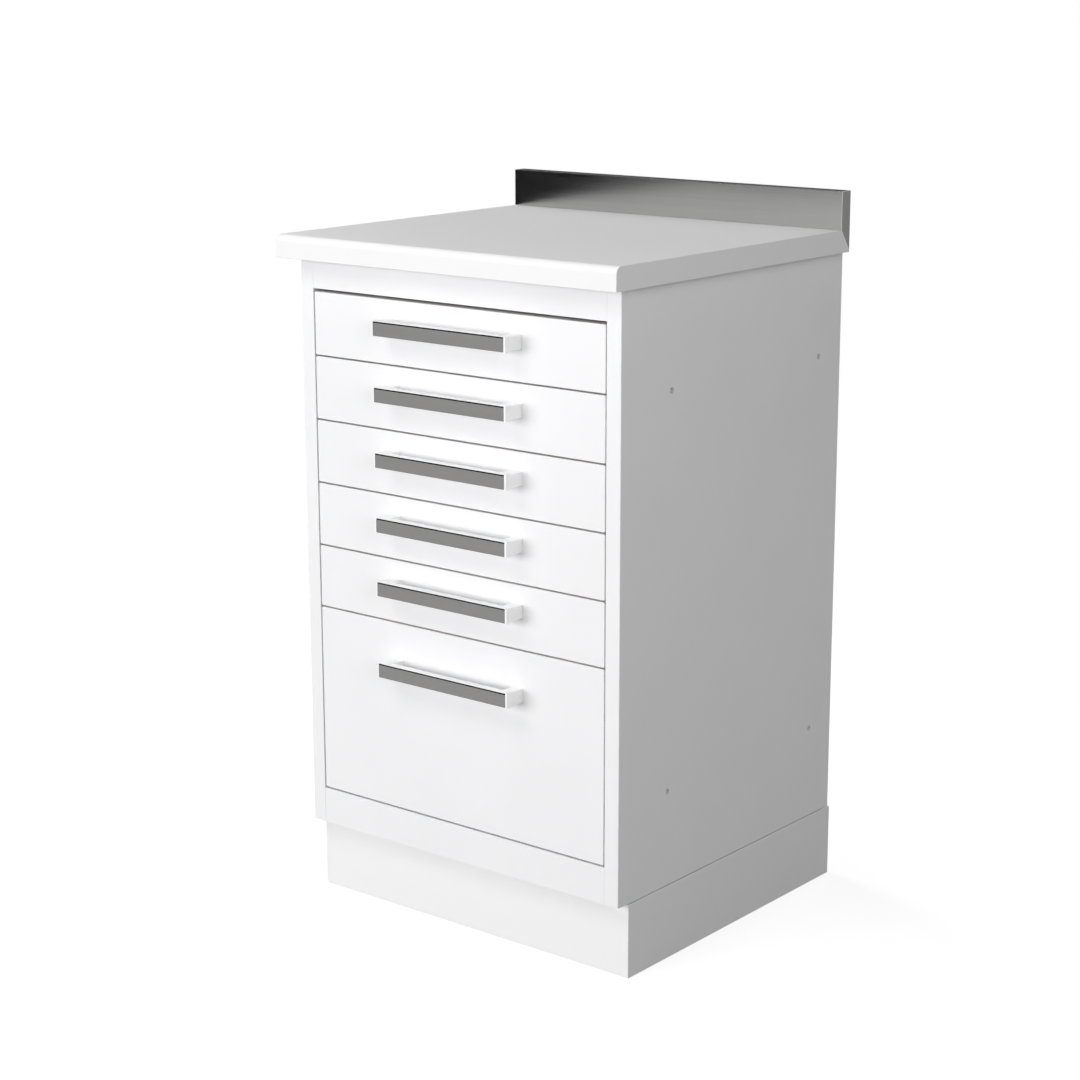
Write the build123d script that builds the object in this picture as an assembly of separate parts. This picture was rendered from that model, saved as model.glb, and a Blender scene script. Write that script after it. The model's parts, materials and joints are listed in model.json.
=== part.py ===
from build123d import *
import os

# Drawer cabinet for a dental room: a folded steel body on a plinth, with a
# laminate worktop, a metal-faced upstand and six drawers on telescopic slides.
# Millimetres. +Z is up, the drawers open towards -Y, and the origin is on the
# floor, in the middle of the overall footprint.

# ---- Steel body ----
body_width = 500.0
body_depth = 464.0
body_height = 740.0
sheet = 1.2                 # folded steel of the body and the drawer fronts
fold_radius = 1.5           # outer radius of a fold that shows
stile_width = 20.4          # front edge of a double-walled side
stile_return = 16.0         # how far a stile folds back into the body
top_rail_height = 38.3
rail_depth = 18.0
stretcher_height = 40.0
stretcher_depth = 20.0
pan_flange = 14.0           # upturned edge of the base pan
seam = 0.2                  # line between a stile and a rail
fit = 0.3                   # clearance between fixed pieces

# ---- Holes in the sides, for bolting cabinets together ----
join_hole_diameter = 7.5
join_front_offset = 98.0
join_bottom_offset = 120.5
join_pitch_depth = 314.5
join_pitch_height = 491.0

# ---- Plinth ----
plinth_height = 94.5
plinth_gap = 2.0            # shadow line under the body
plinth_board = 16.0
plinth_setback = 21.0
plinth_rear_reach = 3.5     # plinth beyond the rear of the body
plinth_edge_radius = 1.0
spacer_diameter = 14.0

# ---- Worktop and upstand ----
worktop_thickness = 28.5
worktop_side_reach = 14.0
worktop_front_reach = 28.5
worktop_rear_inset = 8.0
nose_radius = 9.0
upstand_height = 48.5
upstand_thickness = 19.5
mitre_foot = 1.3            # square edge left under the mitre
upstand_edge_radius = 0.6

# ---- Drawer fronts, from the top down ----
shallow_count = 5
shallow_front_height = 79.1
deep_front_height = 243.0
top_gap = 4.0               # under the top rail
front_gap = 2.0             # between fronts
side_gap = 1.8              # beside a front
front_depth = 18.0
front_corner_radius = 2.0
front_edge_radius = 1.0
relief = 2.2                # square notch where two flanges of a front meet

# ---- Trays ----
tray_sheet = 1.0
tray_length = 420.0
tray_lift = 8.0             # tray bottom above the lower edge of its front
shallow_headroom = 13.1     # tray rim below the upper edge of its front
deep_headroom = 35.0
tray_rim = 8.0              # turned-in hem along the top

# ---- Telescopic slides: cabinet, middle and drawer members ----
slide_thickness = 12.7      # liner to tray
slide_height = 45.0
slide_length = 400.0
slide_setback = 26.0
slide_sheet = 1.2
slide_play = 0.3
slide_lip = 10.5            # reach of the cabinet member's flanges
stop_height = 16.0

# ---- Handles ----
handle_length = 210.0
handle_height = 19.0
handle_reach = 30.0
handle_bar_depth = 9.5
handle_leg_width = 16.5
handle_leg_height = 17.4
handle_edge_radius = 1.0
handle_drop_shallow = 31.5  # handle centre below the top edge of its front
handle_drop_deep = 55.0
strip_border = 2.7          # handle left bare at each end of the strip
strip_margin = 0.7          # handle left bare above and below the strip
strip_thickness = 1.6
strip_bevel = 1.1
strip_play = 0.15

# ---- Fasteners ----
screw_radius = 2.0
screw_head_radius = 3.6
screw_head_height = 2.2
screw_play = 0.1
handle_screw_grip = 10.0    # thread inside a handle leg
rivet_head_height = 1.0
slide_fixing_inset = 40.0   # slide fixings from the ends of a member
body_screw_length = 8.0
worktop_screw_length = 20.0
plinth_screw_length = 32.0
upstand_screw_length = 36.0
rail_screw_spread = 300.0
upstand_screw_spread = 420.0
back_screws_per_side = 4
back_screw_inset = 60.0

# ---- Places that follow from the sizes ----
outer_x = body_width / 2
inner_x = outer_x - stile_width
liner_x = inner_x + sheet
front_y = -(body_depth + plinth_rear_reach - handle_reach) / 2
rear_y = front_y + body_depth
back_y = rear_y - 2 * sheet             # inner face of the back panel
base_z = plinth_height + plinth_gap
top_z = base_z + body_height
pan_z = base_z + 2 * sheet              # upper face of the base pan
tray_x = liner_x - slide_thickness
tray_y = front_y + front_depth
slide_y = front_y + slide_setback
slide_end_y = slide_y + slide_length
worktop_x = outer_x + worktop_side_reach
worktop_y = front_y - worktop_front_reach
worktop_rear_y = rear_y - worktop_rear_inset
worktop_z = top_z + worktop_thickness
mitre_y = worktop_rear_y - upstand_thickness
stretcher_y = mitre_y - stretcher_depth
front_half_width = inner_x - side_gap
handle_x = handle_length / 2 - handle_leg_width / 2
front_heights = [shallow_front_height] * shallow_count + [deep_front_height]
headrooms = [shallow_headroom] * shallow_count + [deep_headroom]
tray_heights = [height - tray_lift - room for height, room in zip(front_heights, headrooms)]
handle_drops = [handle_drop_shallow] * shallow_count + [handle_drop_deep]


def block(x, y, z):
    """A box from three (low, high) pairs."""
    size = [high - low for low, high in (x, y, z)]
    middle = [(high + low) / 2 for low, high in (x, y, z)]
    return Pos(*middle) * Box(*size)


def mirrored(shape):
    """The same piece for the other side of the cabinet."""
    return shape.mirror(Plane.YZ)


def rod(point, direction, radius, length):
    """A round bar that starts at a point and runs along a direction."""
    bar = Cylinder(radius, length, align=(Align.CENTER, Align.CENTER, Align.MIN))
    return Plane(origin=point, z_dir=direction).location * bar


def pan_head_screw(point, direction, length):
    """A screw whose head stands on the point and whose shank runs along the direction."""
    back = tuple(-part for part in direction)
    head = rod(point, back, screw_head_radius, screw_head_height)
    return head + rod(point, direction, screw_radius, length)


def countersunk_screw(point, direction, length, head):
    """A screw whose flat head is level with the point and tapers over the given depth."""
    cone = Cone(screw_head_radius, screw_radius, head, align=(Align.CENTER, Align.CENTER, Align.MIN))
    seated = Plane(origin=point, z_dir=direction).location * cone
    return seated + rod(point, direction, screw_radius, length)


def countersink(point, direction, length, head):
    """The hole for a countersunk screw, wider by the screw's play."""
    wide, narrow = screw_head_radius + screw_play, screw_radius + screw_play
    cone = Cone(wide, narrow, head, align=(Align.CENTER, Align.CENTER, Align.MIN))
    seated = Plane(origin=point, z_dir=direction).location * cone
    return seated + rod(point, direction, narrow, length)


def edges_at(shape, axis, test):
    """Edges along an axis whose centre passes the test."""
    return [edge for edge in shape.edges().filter_by(axis) if test(edge.center())]


def near(value, target):
    """True when two lengths are the same to a hundredth of a millimetre."""
    return abs(value - target) < 0.01


def front_levels():
    """Lower and upper edge of every drawer front, from the top down."""
    levels = []
    upper = top_z - top_rail_height - top_gap
    for height in front_heights:
        levels.append((upper - height, upper))
        upper -= height + front_gap
    return levels


def tray_levels(index):
    """Underside and rim of a drawer's tray."""
    low = front_levels()[index][0] + tray_lift
    return low, low + tray_heights[index]


def slide_level(index):
    """Height of a drawer's slides, halfway up its tray."""
    return sum(tray_levels(index)) / 2


def handle_level(index):
    """Height of a drawer's handle."""
    return front_levels()[index][1] - handle_drops[index]


def slide_fixing_places():
    """Distances along Y of the two fixings of each slide member."""
    return (slide_y + slide_fixing_inset, slide_end_y - slide_fixing_inset)


def join_holes():
    """Bars through both walls of the right side where cabinets bolt together."""
    low_y = front_y + join_front_offset
    low_z = base_z + join_bottom_offset
    reach = stile_width + sheet
    bars = []
    for y in (low_y, low_y + join_pitch_depth):
        for z in (low_z, low_z + join_pitch_height):
            bars.append(rod((inner_x, y, z), (1, 0, 0), join_hole_diameter / 2, reach))
    return bars


def back_screw_places():
    """Points on the right rear flange where the back panel is screwed on."""
    x = outer_x - stile_width / 2
    low, high = base_z + back_screw_inset, top_z - back_screw_inset
    step = (high - low) / (back_screws_per_side - 1)
    return [(x, rear_y, low + step * turn) for turn in range(back_screws_per_side)]


def side_skin():
    """Right outer wall with its stile, return and rear, top and bottom flanges."""
    tall = (base_z, top_z)
    skin = block((outer_x - sheet, outer_x), (front_y, rear_y), tall)
    skin += block((inner_x, outer_x), (front_y, front_y + sheet), tall)
    skin += block((inner_x, inner_x + sheet), (front_y, front_y + stile_return), tall)
    skin += block((inner_x, outer_x), (rear_y - sheet, rear_y), tall)
    skin += block((inner_x, outer_x), (front_y, rear_y), (base_z, base_z + sheet))
    skin += block((inner_x, outer_x), (front_y, rear_y), (top_z - sheet, top_z))
    corners = edges_at(skin, Axis.Z, lambda c: near(c.X, outer_x) and near(c.Y, front_y))
    corners += edges_at(skin, Axis.Z, lambda c: near(c.X, outer_x) and near(c.Y, rear_y))
    skin = fillet(corners, fold_radius)
    holes = join_holes()
    for x, y, z in back_screw_places():
        holes.append(rod((x, y - 2 * sheet, z), (0, 1, 0), screw_radius + screw_play, 3 * sheet))
    return skin - holes


def side_liner():
    """Right inner wall, which carries the slides."""
    liner = block((liner_x, liner_x + sheet), (front_y + 2 * sheet, back_y), (pan_z, top_z - sheet))
    holes = join_holes()
    for index in range(len(front_heights)):
        for y in slide_fixing_places():
            point = (liner_x - sheet, y, slide_level(index))
            holes.append(rod(point, (1, 0, 0), screw_radius + screw_play, 3 * sheet))
    return liner - holes


def back_panel():
    """Flat sheet behind the trays, held inside the rear flanges."""
    wide = outer_x - sheet - fit
    panel = block((-wide, wide), (back_y, back_y + sheet), (base_z + sheet, top_z - sheet))
    for x, y, z in back_screw_places():
        for side in (x, -x):
            start = (side, back_y - sheet, z)
            panel -= rod(start, (0, 1, 0), screw_radius + screw_play, 3 * sheet)
    return panel


def plinth_screw_places():
    """Points on the base pan above the front and rear plinth boards."""
    front = front_y + plinth_setback + plinth_board / 2
    rear = rear_y + plinth_rear_reach - plinth_board + screw_head_radius
    x = rail_screw_spread / 2
    return [(side, y, pan_z) for y in (front, rear) for side in (-x, x)]


def base_pan():
    """Floor of the body, with an upturned edge all round."""
    wide = outer_x - sheet - fit
    between = inner_x - seam
    start = front_y + max(rail_depth, stile_return) + fit
    floor_z = (base_z + sheet, pan_z)
    edge_z = (base_z + sheet, pan_z + pan_flange)
    pan = block((-wide, wide), (start, back_y), floor_z)
    for y in (start, back_y - sheet):
        pan += block((-between, between), (y, y + sheet), edge_z)
    for x in (-wide, wide - sheet):
        pan += block((x, x + sheet), (start, back_y), edge_z)
    for point in plinth_screw_places():
        start_point = (point[0], point[1], base_z)
        pan -= rod(start_point, (0, 0, 1), screw_radius + screw_play, 3 * sheet)
    return pan


def rail(depth, y, z):
    """Folded channel between the sides, open at the rear, closed at its ends."""
    half = inner_x - seam
    low, high = z
    beam = block((-half, half), (y, y + sheet), z)
    beam += block((-half, half), (y, y + depth), (low, low + sheet))
    beam += block((-half, half), (y, y + depth), (high - sheet, high))
    for x in (-half, half - sheet):
        beam += block((x, x + sheet), (y, y + depth), z)
    return beam


def worktop_screw_places():
    """Points under the top flanges of the top rail and the rear stretcher."""
    x = rail_screw_spread / 2
    front = front_y + rail_depth / 2
    rear = stretcher_y + stretcher_depth / 2
    return [(side, y, top_z - sheet) for y in (front, rear) for side in (-x, x)]


def with_worktop_holes(beam):
    """The same beam with holes for the worktop's screws."""
    for x, y, z in worktop_screw_places():
        beam -= rod((x, y, z - sheet), (0, 0, 1), screw_radius + screw_play, 3 * sheet)
    return beam


def top_rail():
    """Front rail over the drawers."""
    return with_worktop_holes(rail(rail_depth, front_y, (top_z - top_rail_height, top_z)))


def bottom_rail():
    """Front rail under the drawers, as high as the fronts leave room for."""
    upper = front_levels()[-1][0] - front_gap
    return rail(rail_depth, front_y, (base_z, upper))


def rear_stretcher():
    """Rail over the rear of the trays, which holds the worktop in front of its mitre."""
    z = (top_z - stretcher_height, top_z)
    return with_worktop_holes(rail(stretcher_depth, stretcher_y, z))


def upstand_screw_places():
    """Points on the upstand's rear face, halfway down the mitre."""
    x = upstand_screw_spread / 2
    z = (top_z + worktop_z) / 2
    return [(side, worktop_rear_y, z) for side in (-x, 0, x)]


def worktop():
    """Laminate board with a rounded front edge and a mitred rear edge."""
    low, high = (worktop_y, top_z), (worktop_rear_y, top_z)
    foot = (worktop_rear_y, top_z + mitre_foot)
    rise = (mitre_y, worktop_z)
    outline = Polyline(low, high, foot, rise, (worktop_y, worktop_z), close=True)
    face = Plane.YZ * make_face(outline)
    board = Pos(-worktop_x, 0, 0) * extrude(face, 2 * worktop_x)
    nose = edges_at(board, Axis.X, lambda c: near(c.Y, worktop_y) and near(c.Z, worktop_z))
    board = fillet(nose, min(nose_radius, 0.9 * worktop_thickness))
    for x, y, z in worktop_screw_places():
        board -= rod((x, y, z), (0, 0, 1), screw_radius + screw_play, worktop_screw_length + fit)
    for point in upstand_screw_places():
        board -= rod(point, (0, -1, 0), screw_radius + screw_play, upstand_screw_length + fit)
    return board


def upstand():
    """Metal-faced board along the rear of the worktop, joined to it at a mitre."""
    foot = (worktop_rear_y, top_z + mitre_foot)
    top = worktop_z + upstand_height
    outline = Polyline((mitre_y, worktop_z), foot, (worktop_rear_y, top), (mitre_y, top), close=True)
    face = Plane.YZ * make_face(outline)
    board = Pos(-worktop_x, 0, 0) * extrude(face, 2 * worktop_x)
    upper = edges_at(board, Axis.X, lambda c: near(c.Z, top))
    board = fillet(upper, upstand_edge_radius)
    for point in upstand_screw_places():
        board -= countersink(point, (0, -1, 0), upstand_screw_length, screw_head_height)
    return board


def plinth_ring():
    """Mitred ring of boards, from which each board of the plinth is cut."""
    near_y, far_y = front_y + plinth_setback, rear_y + plinth_rear_reach
    ring = block((-outer_x, outer_x), (near_y, far_y), (0, plinth_height))
    top_edges = [edge for edge in ring.edges() if near(edge.center().Z, plinth_height)]
    ring = fillet(top_edges, plinth_edge_radius)
    hollow_x = outer_x - plinth_board
    hollow_y = (near_y + plinth_board, far_y - plinth_board)
    return ring - block((-hollow_x, hollow_x), hollow_y, (0, plinth_height))


def plinth_wedge(corner_a, corner_b, inner_b, inner_a):
    """Upright prism over one side of the ring, cut along the mitres."""
    outline = make_face(Polyline(corner_a, corner_b, inner_b, inner_a, close=True))
    return extrude(outline, plinth_height)


def plinth_boards():
    """The four boards of the plinth by name."""
    near_y, far_y = front_y + plinth_setback, rear_y + plinth_rear_reach
    outside = [(-outer_x, near_y), (outer_x, near_y), (outer_x, far_y), (-outer_x, far_y)]
    inner = outer_x - plinth_board
    low, high = near_y + plinth_board, far_y - plinth_board
    inside = [(-inner, low), (inner, low), (inner, high), (-inner, high)]
    ring = plinth_ring()
    for x, y, z in plinth_screw_places():
        ring -= rod((x, y, z), (0, 0, -1), screw_radius + screw_play, plinth_screw_length + fit)
    boards = {}
    for turn, name in enumerate(("front", "right", "rear", "left")):
        after = (turn + 1) % 4
        wedge = plinth_wedge(outside[turn], outside[after], inside[after], inside[turn])
        boards["plinth_" + name] = ring & wedge
    return boards


def plinth_spacers():
    """Washers between the plinth and the base pan, one round each screw."""
    spacers = []
    for x, y, z in plinth_screw_places():
        disc = rod((x, y, plinth_height), (0, 0, 1), spacer_diameter / 2, plinth_gap + sheet)
        spacers.append(disc - rod((x, y, 0), (0, 0, 1), screw_radius + screw_play, z))
    return spacers


def channel(web_x, tip_x, half_height, y, level):
    """Slide member along Y: an upright web at web_x with two flanges that reach tip_x."""
    step = slide_sheet if tip_x > web_x else -slide_sheet
    web = block(sorted((web_x, web_x + step)), y, (level - half_height, level + half_height))
    wide = sorted((web_x, tip_x))
    web += block(wide, y, (level + half_height - slide_sheet, level + half_height))
    return web + block(wide, y, (level - half_height, level - half_height + slide_sheet))


def cabinet_member(level):
    """Outer slide member on the liner, with a stop at its rear end."""
    tip = liner_x - slide_lip
    member = channel(liner_x, tip, slide_height / 2, (slide_y, slide_end_y), level)
    stop_y = (slide_end_y - slide_sheet, slide_end_y)
    stop_z = (level - stop_height / 2, level + stop_height / 2)
    member += block((tip, liner_x), stop_y, stop_z)
    for y in slide_fixing_places():
        point = (liner_x - slide_sheet, y, level)
        member -= countersink(point, (1, 0, 0), 2 * slide_sheet, slide_sheet)
    return member


def nested_y():
    """Length of the inner members, clear of the rear stop."""
    return (slide_y, slide_end_y - slide_sheet - slide_play)


def middle_member(level):
    """Slide member that runs between the cabinet's and the drawer's."""
    step = slide_sheet + slide_play
    half = slide_height / 2 - step
    return channel(liner_x - step, liner_x - slide_lip - slide_play, half, nested_y(), level)


def drawer_member(level):
    """Inner slide member, riveted to the tray."""
    step = slide_sheet + slide_play
    half = slide_height / 2 - 2 * step
    member = channel(tray_x, liner_x - 2 * step, half, nested_y(), level)
    for y in slide_fixing_places():
        point = (tray_x - slide_sheet, y, level)
        member -= rod(point, (1, 0, 0), screw_radius + screw_play, 3 * slide_sheet)
    return member


def tray_trough(index):
    """Floor and sides of a tray, folded from one sheet, with a turned-in hem along each side."""
    low, high = tray_levels(index)
    y = (tray_y, tray_y + tray_length)
    inner = tray_x - tray_sheet
    trough = block((-tray_x, tray_x), y, (low, high))
    trough -= block((-inner, inner), y, (low + tray_sheet, high))
    hem_y = (y[0] + 2 * tray_sheet, y[1] - 2 * tray_sheet)
    for x in (-inner, inner - tray_sheet):
        trough += block((x, x + tray_sheet), hem_y, (high - tray_rim, high))
    for y_fixing in slide_fixing_places():
        start = (-tray_x - tray_sheet, y_fixing, slide_level(index))
        trough -= rod(start, (1, 0, 0), screw_radius + screw_play, 2 * (tray_x + tray_sheet))
    return trough


def tray_wall(index, y, hem_y):
    """Front or rear wall of a tray, welded between the sides, with a hem along its top."""
    low, high = tray_levels(index)
    inner = tray_x - tray_sheet
    wall = block((-inner, inner), (y, y + tray_sheet), (low + tray_sheet, high))
    return wall + block((-inner, inner), (hem_y, hem_y + tray_sheet), (high - tray_rim, high))


def tray(index):
    """The three folded sheets of a tray."""
    rear = tray_y + tray_length - tray_sheet
    front_wall = tray_wall(index, tray_y, tray_y + tray_sheet)
    for x in (-handle_x, handle_x):
        start = (x, tray_y - tray_sheet, handle_level(index))
        front_wall -= rod(start, (0, 1, 0), screw_radius + screw_play, 4 * tray_sheet)
    return [tray_trough(index), front_wall, tray_wall(index, rear, rear - tray_sheet)]


def drawer_front(index):
    """Folded steel front: a face with four flanges that stand against the tray."""
    low, high = front_levels()[index]
    half = front_half_width
    front = block((-half, half), (front_y, tray_y), (low, high))
    corners = front.edges().filter_by(Axis.Y)
    front = fillet(corners, front_corner_radius)
    face = front.faces().sort_by(Axis.Y)[0]
    front = fillet(face.edges(), front_edge_radius)
    hollow_z = (low + sheet, high - sheet)
    front -= block((sheet - half, half - sheet), (front_y + sheet, tray_y), hollow_z)
    for x in (-half, half - relief):
        for z in (low, high - relief):
            front -= block((x, x + relief), (front_y + 2 * sheet, tray_y), (z, z + relief))
    for x in (-handle_x, handle_x):
        start = (x, front_y - sheet, handle_level(index))
        front -= rod(start, (0, 1, 0), screw_radius + screw_play, 3 * sheet)
    return front


def strip_size():
    """Half length and half height of a handle's metal strip."""
    return handle_length / 2 - strip_border, handle_height / 2 - strip_margin


def handle(index):
    """Bow handle: a bar with a pocket for its strip, on two legs."""
    level = handle_level(index)
    half = handle_length / 2
    tip_y = front_y - handle_reach
    bar_z = (level - handle_height / 2, level + handle_height / 2)
    bar = block((-half, half), (tip_y, tip_y + handle_bar_depth), bar_z)
    ends = edges_at(bar, Axis.Z, lambda c: near(c.Y, tip_y))
    bar = fillet(ends, handle_edge_radius)
    leg_z = (level - handle_leg_height / 2, level + handle_leg_height / 2)
    for side in (-handle_x, handle_x):
        leg_x = (side - handle_leg_width / 2, side + handle_leg_width / 2)
        leg = block(leg_x, (tip_y + handle_bar_depth / 2, front_y), leg_z)
        bar += fillet(leg.edges().filter_by(Axis.Y), handle_edge_radius)
    long, tall = strip_size()
    pocket_z = (level - tall - strip_play, level + tall + strip_play)
    pocket_x = (-long - strip_play, long + strip_play)
    bar -= block(pocket_x, (tip_y, tip_y + strip_thickness), pocket_z)
    for side in (-handle_x, handle_x):
        grip = handle_screw_grip + fit
        bar -= rod((side, front_y, level), (0, -1, 0), screw_radius + screw_play, grip)
    return bar


def handle_strip(index):
    """Metal strip in the handle's face, bevelled along its top edge."""
    level = handle_level(index)
    long, tall = strip_size()
    tip_y = front_y - handle_reach
    strip_y = (tip_y, tip_y + strip_thickness)
    strip = block((-long, long), strip_y, (level - tall, level + tall))
    top = edges_at(strip, Axis.X, lambda c: near(c.Y, tip_y) and c.Z > level)
    return chamfer(top, strip_bevel)


def drawer_fasteners(index):
    """Screws of the handle and rivets of the slide members."""
    length = front_depth + tray_sheet + handle_screw_grip
    level = handle_level(index)
    pieces = []
    for x in (-handle_x, handle_x):
        pieces.append(pan_head_screw((x, tray_y + tray_sheet, level), (0, -1, 0), length))
    grip = slide_sheet + tray_sheet
    for y in slide_fixing_places():
        start = (tray_x + slide_sheet, y, slide_level(index))
        rivet = rod(start, (-1, 0, 0), screw_radius, grip)
        rivet += rod(start, (1, 0, 0), screw_head_radius, rivet_head_height)
        end = (tray_x - tray_sheet, y, slide_level(index))
        rivet += rod(end, (-1, 0, 0), screw_head_radius, rivet_head_height)
        pieces += [rivet, mirrored(rivet)]
    return pieces


def body_fasteners():
    """Screws of the fixed body: slides, back panel, worktop, upstand and plinth."""
    pieces = []
    for index in range(len(front_heights)):
        for y in slide_fixing_places():
            point = (liner_x - slide_sheet, y, slide_level(index))
            screw = countersunk_screw(point, (1, 0, 0), body_screw_length, slide_sheet)
            pieces += [screw, mirrored(screw)]
    for point in back_screw_places():
        screw = pan_head_screw(point, (0, -1, 0), body_screw_length)
        pieces += [screw, mirrored(screw)]
    for point in worktop_screw_places():
        pieces.append(pan_head_screw(point, (0, 0, 1), worktop_screw_length))
    for point in plinth_screw_places():
        pieces.append(pan_head_screw(point, (0, 0, -1), plinth_screw_length))
    for point in upstand_screw_places():
        screw = countersunk_screw(point, (0, -1, 0), upstand_screw_length, screw_head_height)
        pieces.append(screw)
    return pieces


def save(node, *pieces):
    """Write one node, as a single solid or as a group of separate solids."""
    solids = [solid for piece in pieces for solid in piece.solids()]
    shape = solids[0] if len(solids) == 1 else Compound(children=solids)
    export_step(shape, os.path.join("parts", node + ".step"))


def save_body():
    """Write every node of the fixed body."""
    skin, liner = side_skin(), side_liner()
    save("side_skin_right", skin)
    save("side_skin_left", mirrored(skin))
    save("side_liner_right", liner)
    save("side_liner_left", mirrored(liner))
    save("back_panel", back_panel())
    save("base_pan", base_pan())
    save("top_rail", top_rail())
    save("bottom_rail", bottom_rail())
    save("rear_stretcher", rear_stretcher())
    save("worktop", worktop())
    save("upstand", upstand())
    for name, board in plinth_boards().items():
        save(name, board)
    save("plinth_spacers", *plinth_spacers())
    members = [cabinet_member(slide_level(index)) for index in range(len(front_heights))]
    save("cabinet_slide_members", *members, *[mirrored(member) for member in members])
    save("body_fasteners", *body_fasteners())


def save_drawer(index):
    """Write the nodes of one drawer and of its middle slide members."""
    number = str(index + 1)
    level = slide_level(index)
    inner, middle = drawer_member(level), middle_member(level)
    save("drawer_front_" + number, drawer_front(index))
    save("tray_" + number, *tray(index))
    save("handle_" + number, handle(index))
    save("handle_strip_" + number, handle_strip(index))
    save("drawer_slide_members_" + number, inner, mirrored(inner))
    save("middle_slide_members_" + number, middle, mirrored(middle))
    save("drawer_fasteners_" + number, *drawer_fasteners(index))


os.makedirs("parts", exist_ok=True)
save_body()
for drawer in range(len(front_heights)):
    save_drawer(drawer)
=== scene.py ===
"""Drawer cabinet for a dental room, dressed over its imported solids.

The white steel body stands on a plinth and carries a laminate worktop with a
metal-faced upstand. Six drawers run on telescopic slides and are opened by bow
handles with a grey metal strip. Lengths are in metres, the drawers open
towards -Y, and every piece takes its place from the solid that it stands for.
"""

from __future__ import annotations

import json
import logging
import math
from dataclasses import dataclass, field
from enum import Enum
from typing import Callable, Mapping, Sequence

import bmesh
import bpy
from mathutils import Matrix, Vector

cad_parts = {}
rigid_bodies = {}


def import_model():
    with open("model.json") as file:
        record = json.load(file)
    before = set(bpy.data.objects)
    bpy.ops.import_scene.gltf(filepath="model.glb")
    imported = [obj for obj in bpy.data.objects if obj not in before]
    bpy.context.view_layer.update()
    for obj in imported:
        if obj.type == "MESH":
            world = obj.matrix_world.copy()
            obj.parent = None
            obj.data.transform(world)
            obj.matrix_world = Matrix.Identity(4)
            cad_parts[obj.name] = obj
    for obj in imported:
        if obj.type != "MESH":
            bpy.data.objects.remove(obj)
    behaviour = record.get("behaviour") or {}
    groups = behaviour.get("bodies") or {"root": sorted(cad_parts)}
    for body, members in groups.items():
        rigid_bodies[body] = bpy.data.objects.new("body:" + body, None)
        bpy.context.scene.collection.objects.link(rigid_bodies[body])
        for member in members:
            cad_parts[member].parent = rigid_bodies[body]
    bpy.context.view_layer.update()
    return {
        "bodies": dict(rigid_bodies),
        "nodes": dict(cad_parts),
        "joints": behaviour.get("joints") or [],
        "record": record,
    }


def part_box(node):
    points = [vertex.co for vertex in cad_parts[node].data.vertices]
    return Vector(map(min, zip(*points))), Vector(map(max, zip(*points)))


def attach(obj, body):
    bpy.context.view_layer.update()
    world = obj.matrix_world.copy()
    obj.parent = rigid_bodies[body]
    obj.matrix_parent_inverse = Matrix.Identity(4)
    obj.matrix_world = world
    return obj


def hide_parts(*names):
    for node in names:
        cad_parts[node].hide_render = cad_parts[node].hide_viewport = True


MM = 0.001
CORNER = math.radians(30)  # least corner that is rounded or stays sharp
FLAT = math.radians(0.4)  # facets that lie flatter than this are one face
WELD = 2e-6  # corners of a solid nearer than this are one corner
DRAWERS = range(1, 7)  # the drawers' numbers, from the top
LOG = logging.getLogger("cabinet")
FRAME: dict = {}
Point = tuple[float, float, float]
Flat = tuple[float, float]
Colour = tuple[float, float, float]
Material = bpy.types.Material
Object = bpy.types.Object


class Axis(Enum):
    """The three directions of the cabinet."""

    WIDTH = 0
    DEPTH = 1
    HEIGHT = 2


class Head(Enum):
    """How a fastener's head is shaped."""

    PAN = 0
    SUNK = 1
    RIVET = 2


# ---------------------------------------------------------------------------
# Shaders
# ---------------------------------------------------------------------------


class Signal:
    """A shader socket that Python's operators combine with numbers and sockets."""

    def __init__(self, tree: Tree, socket: bpy.types.NodeSocket) -> None:
        """Wraps one output socket.

        Args:
            tree: The tree that the socket belongs to.
            socket: The output socket.
        """
        self.tree = tree
        self.socket = socket

    def _math(self, operation: str, *values: Signal | float) -> Signal:
        """One Math node.

        Args:
            operation: Blender's name of the operation.
            values: Its inputs in order.

        Returns:
            The node's result.
        """
        inputs = {index: value for index, value in enumerate(values)}
        return self.tree.out("ShaderNodeMath", {"operation": operation}, inputs)

    def __add__(self, other: Signal | float) -> Signal:
        """Sum."""
        return self._math("ADD", self, other)

    def __radd__(self, other: float) -> Signal:
        """Sum with a number on the left."""
        return self._math("ADD", other, self)

    def __sub__(self, other: Signal | float) -> Signal:
        """Difference."""
        return self._math("SUBTRACT", self, other)

    def __rsub__(self, other: float) -> Signal:
        """Difference with a number on the left."""
        return self._math("SUBTRACT", other, self)

    def __mul__(self, other: Signal | float) -> Signal:
        """Product."""
        return self._math("MULTIPLY", self, other)

    def __truediv__(self, other: Signal | float) -> Signal:
        """Quotient."""
        return self._math("DIVIDE", self, other)

    def at_most(self, other: Signal | float) -> Signal:
        """The smaller of two values."""
        return self._math("MINIMUM", self, other)

    def at_least(self, other: Signal | float) -> Signal:
        """The larger of two values."""
        return self._math("MAXIMUM", self, other)

    def stepped(self, low: float, high: float) -> Signal:
        """A soft step.

        Args:
            low: Value at which the step starts from 0.
            high: Value at which it has reached 1.

        Returns:
            0 below the step, 1 above it and a smooth rise between.
        """
        settings = {"interpolation_type": "SMOOTHSTEP"}
        inputs = {"Value": self, "From Min": low, "From Max": high}
        return self.tree.out("ShaderNodeMapRange", settings, inputs)


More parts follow.
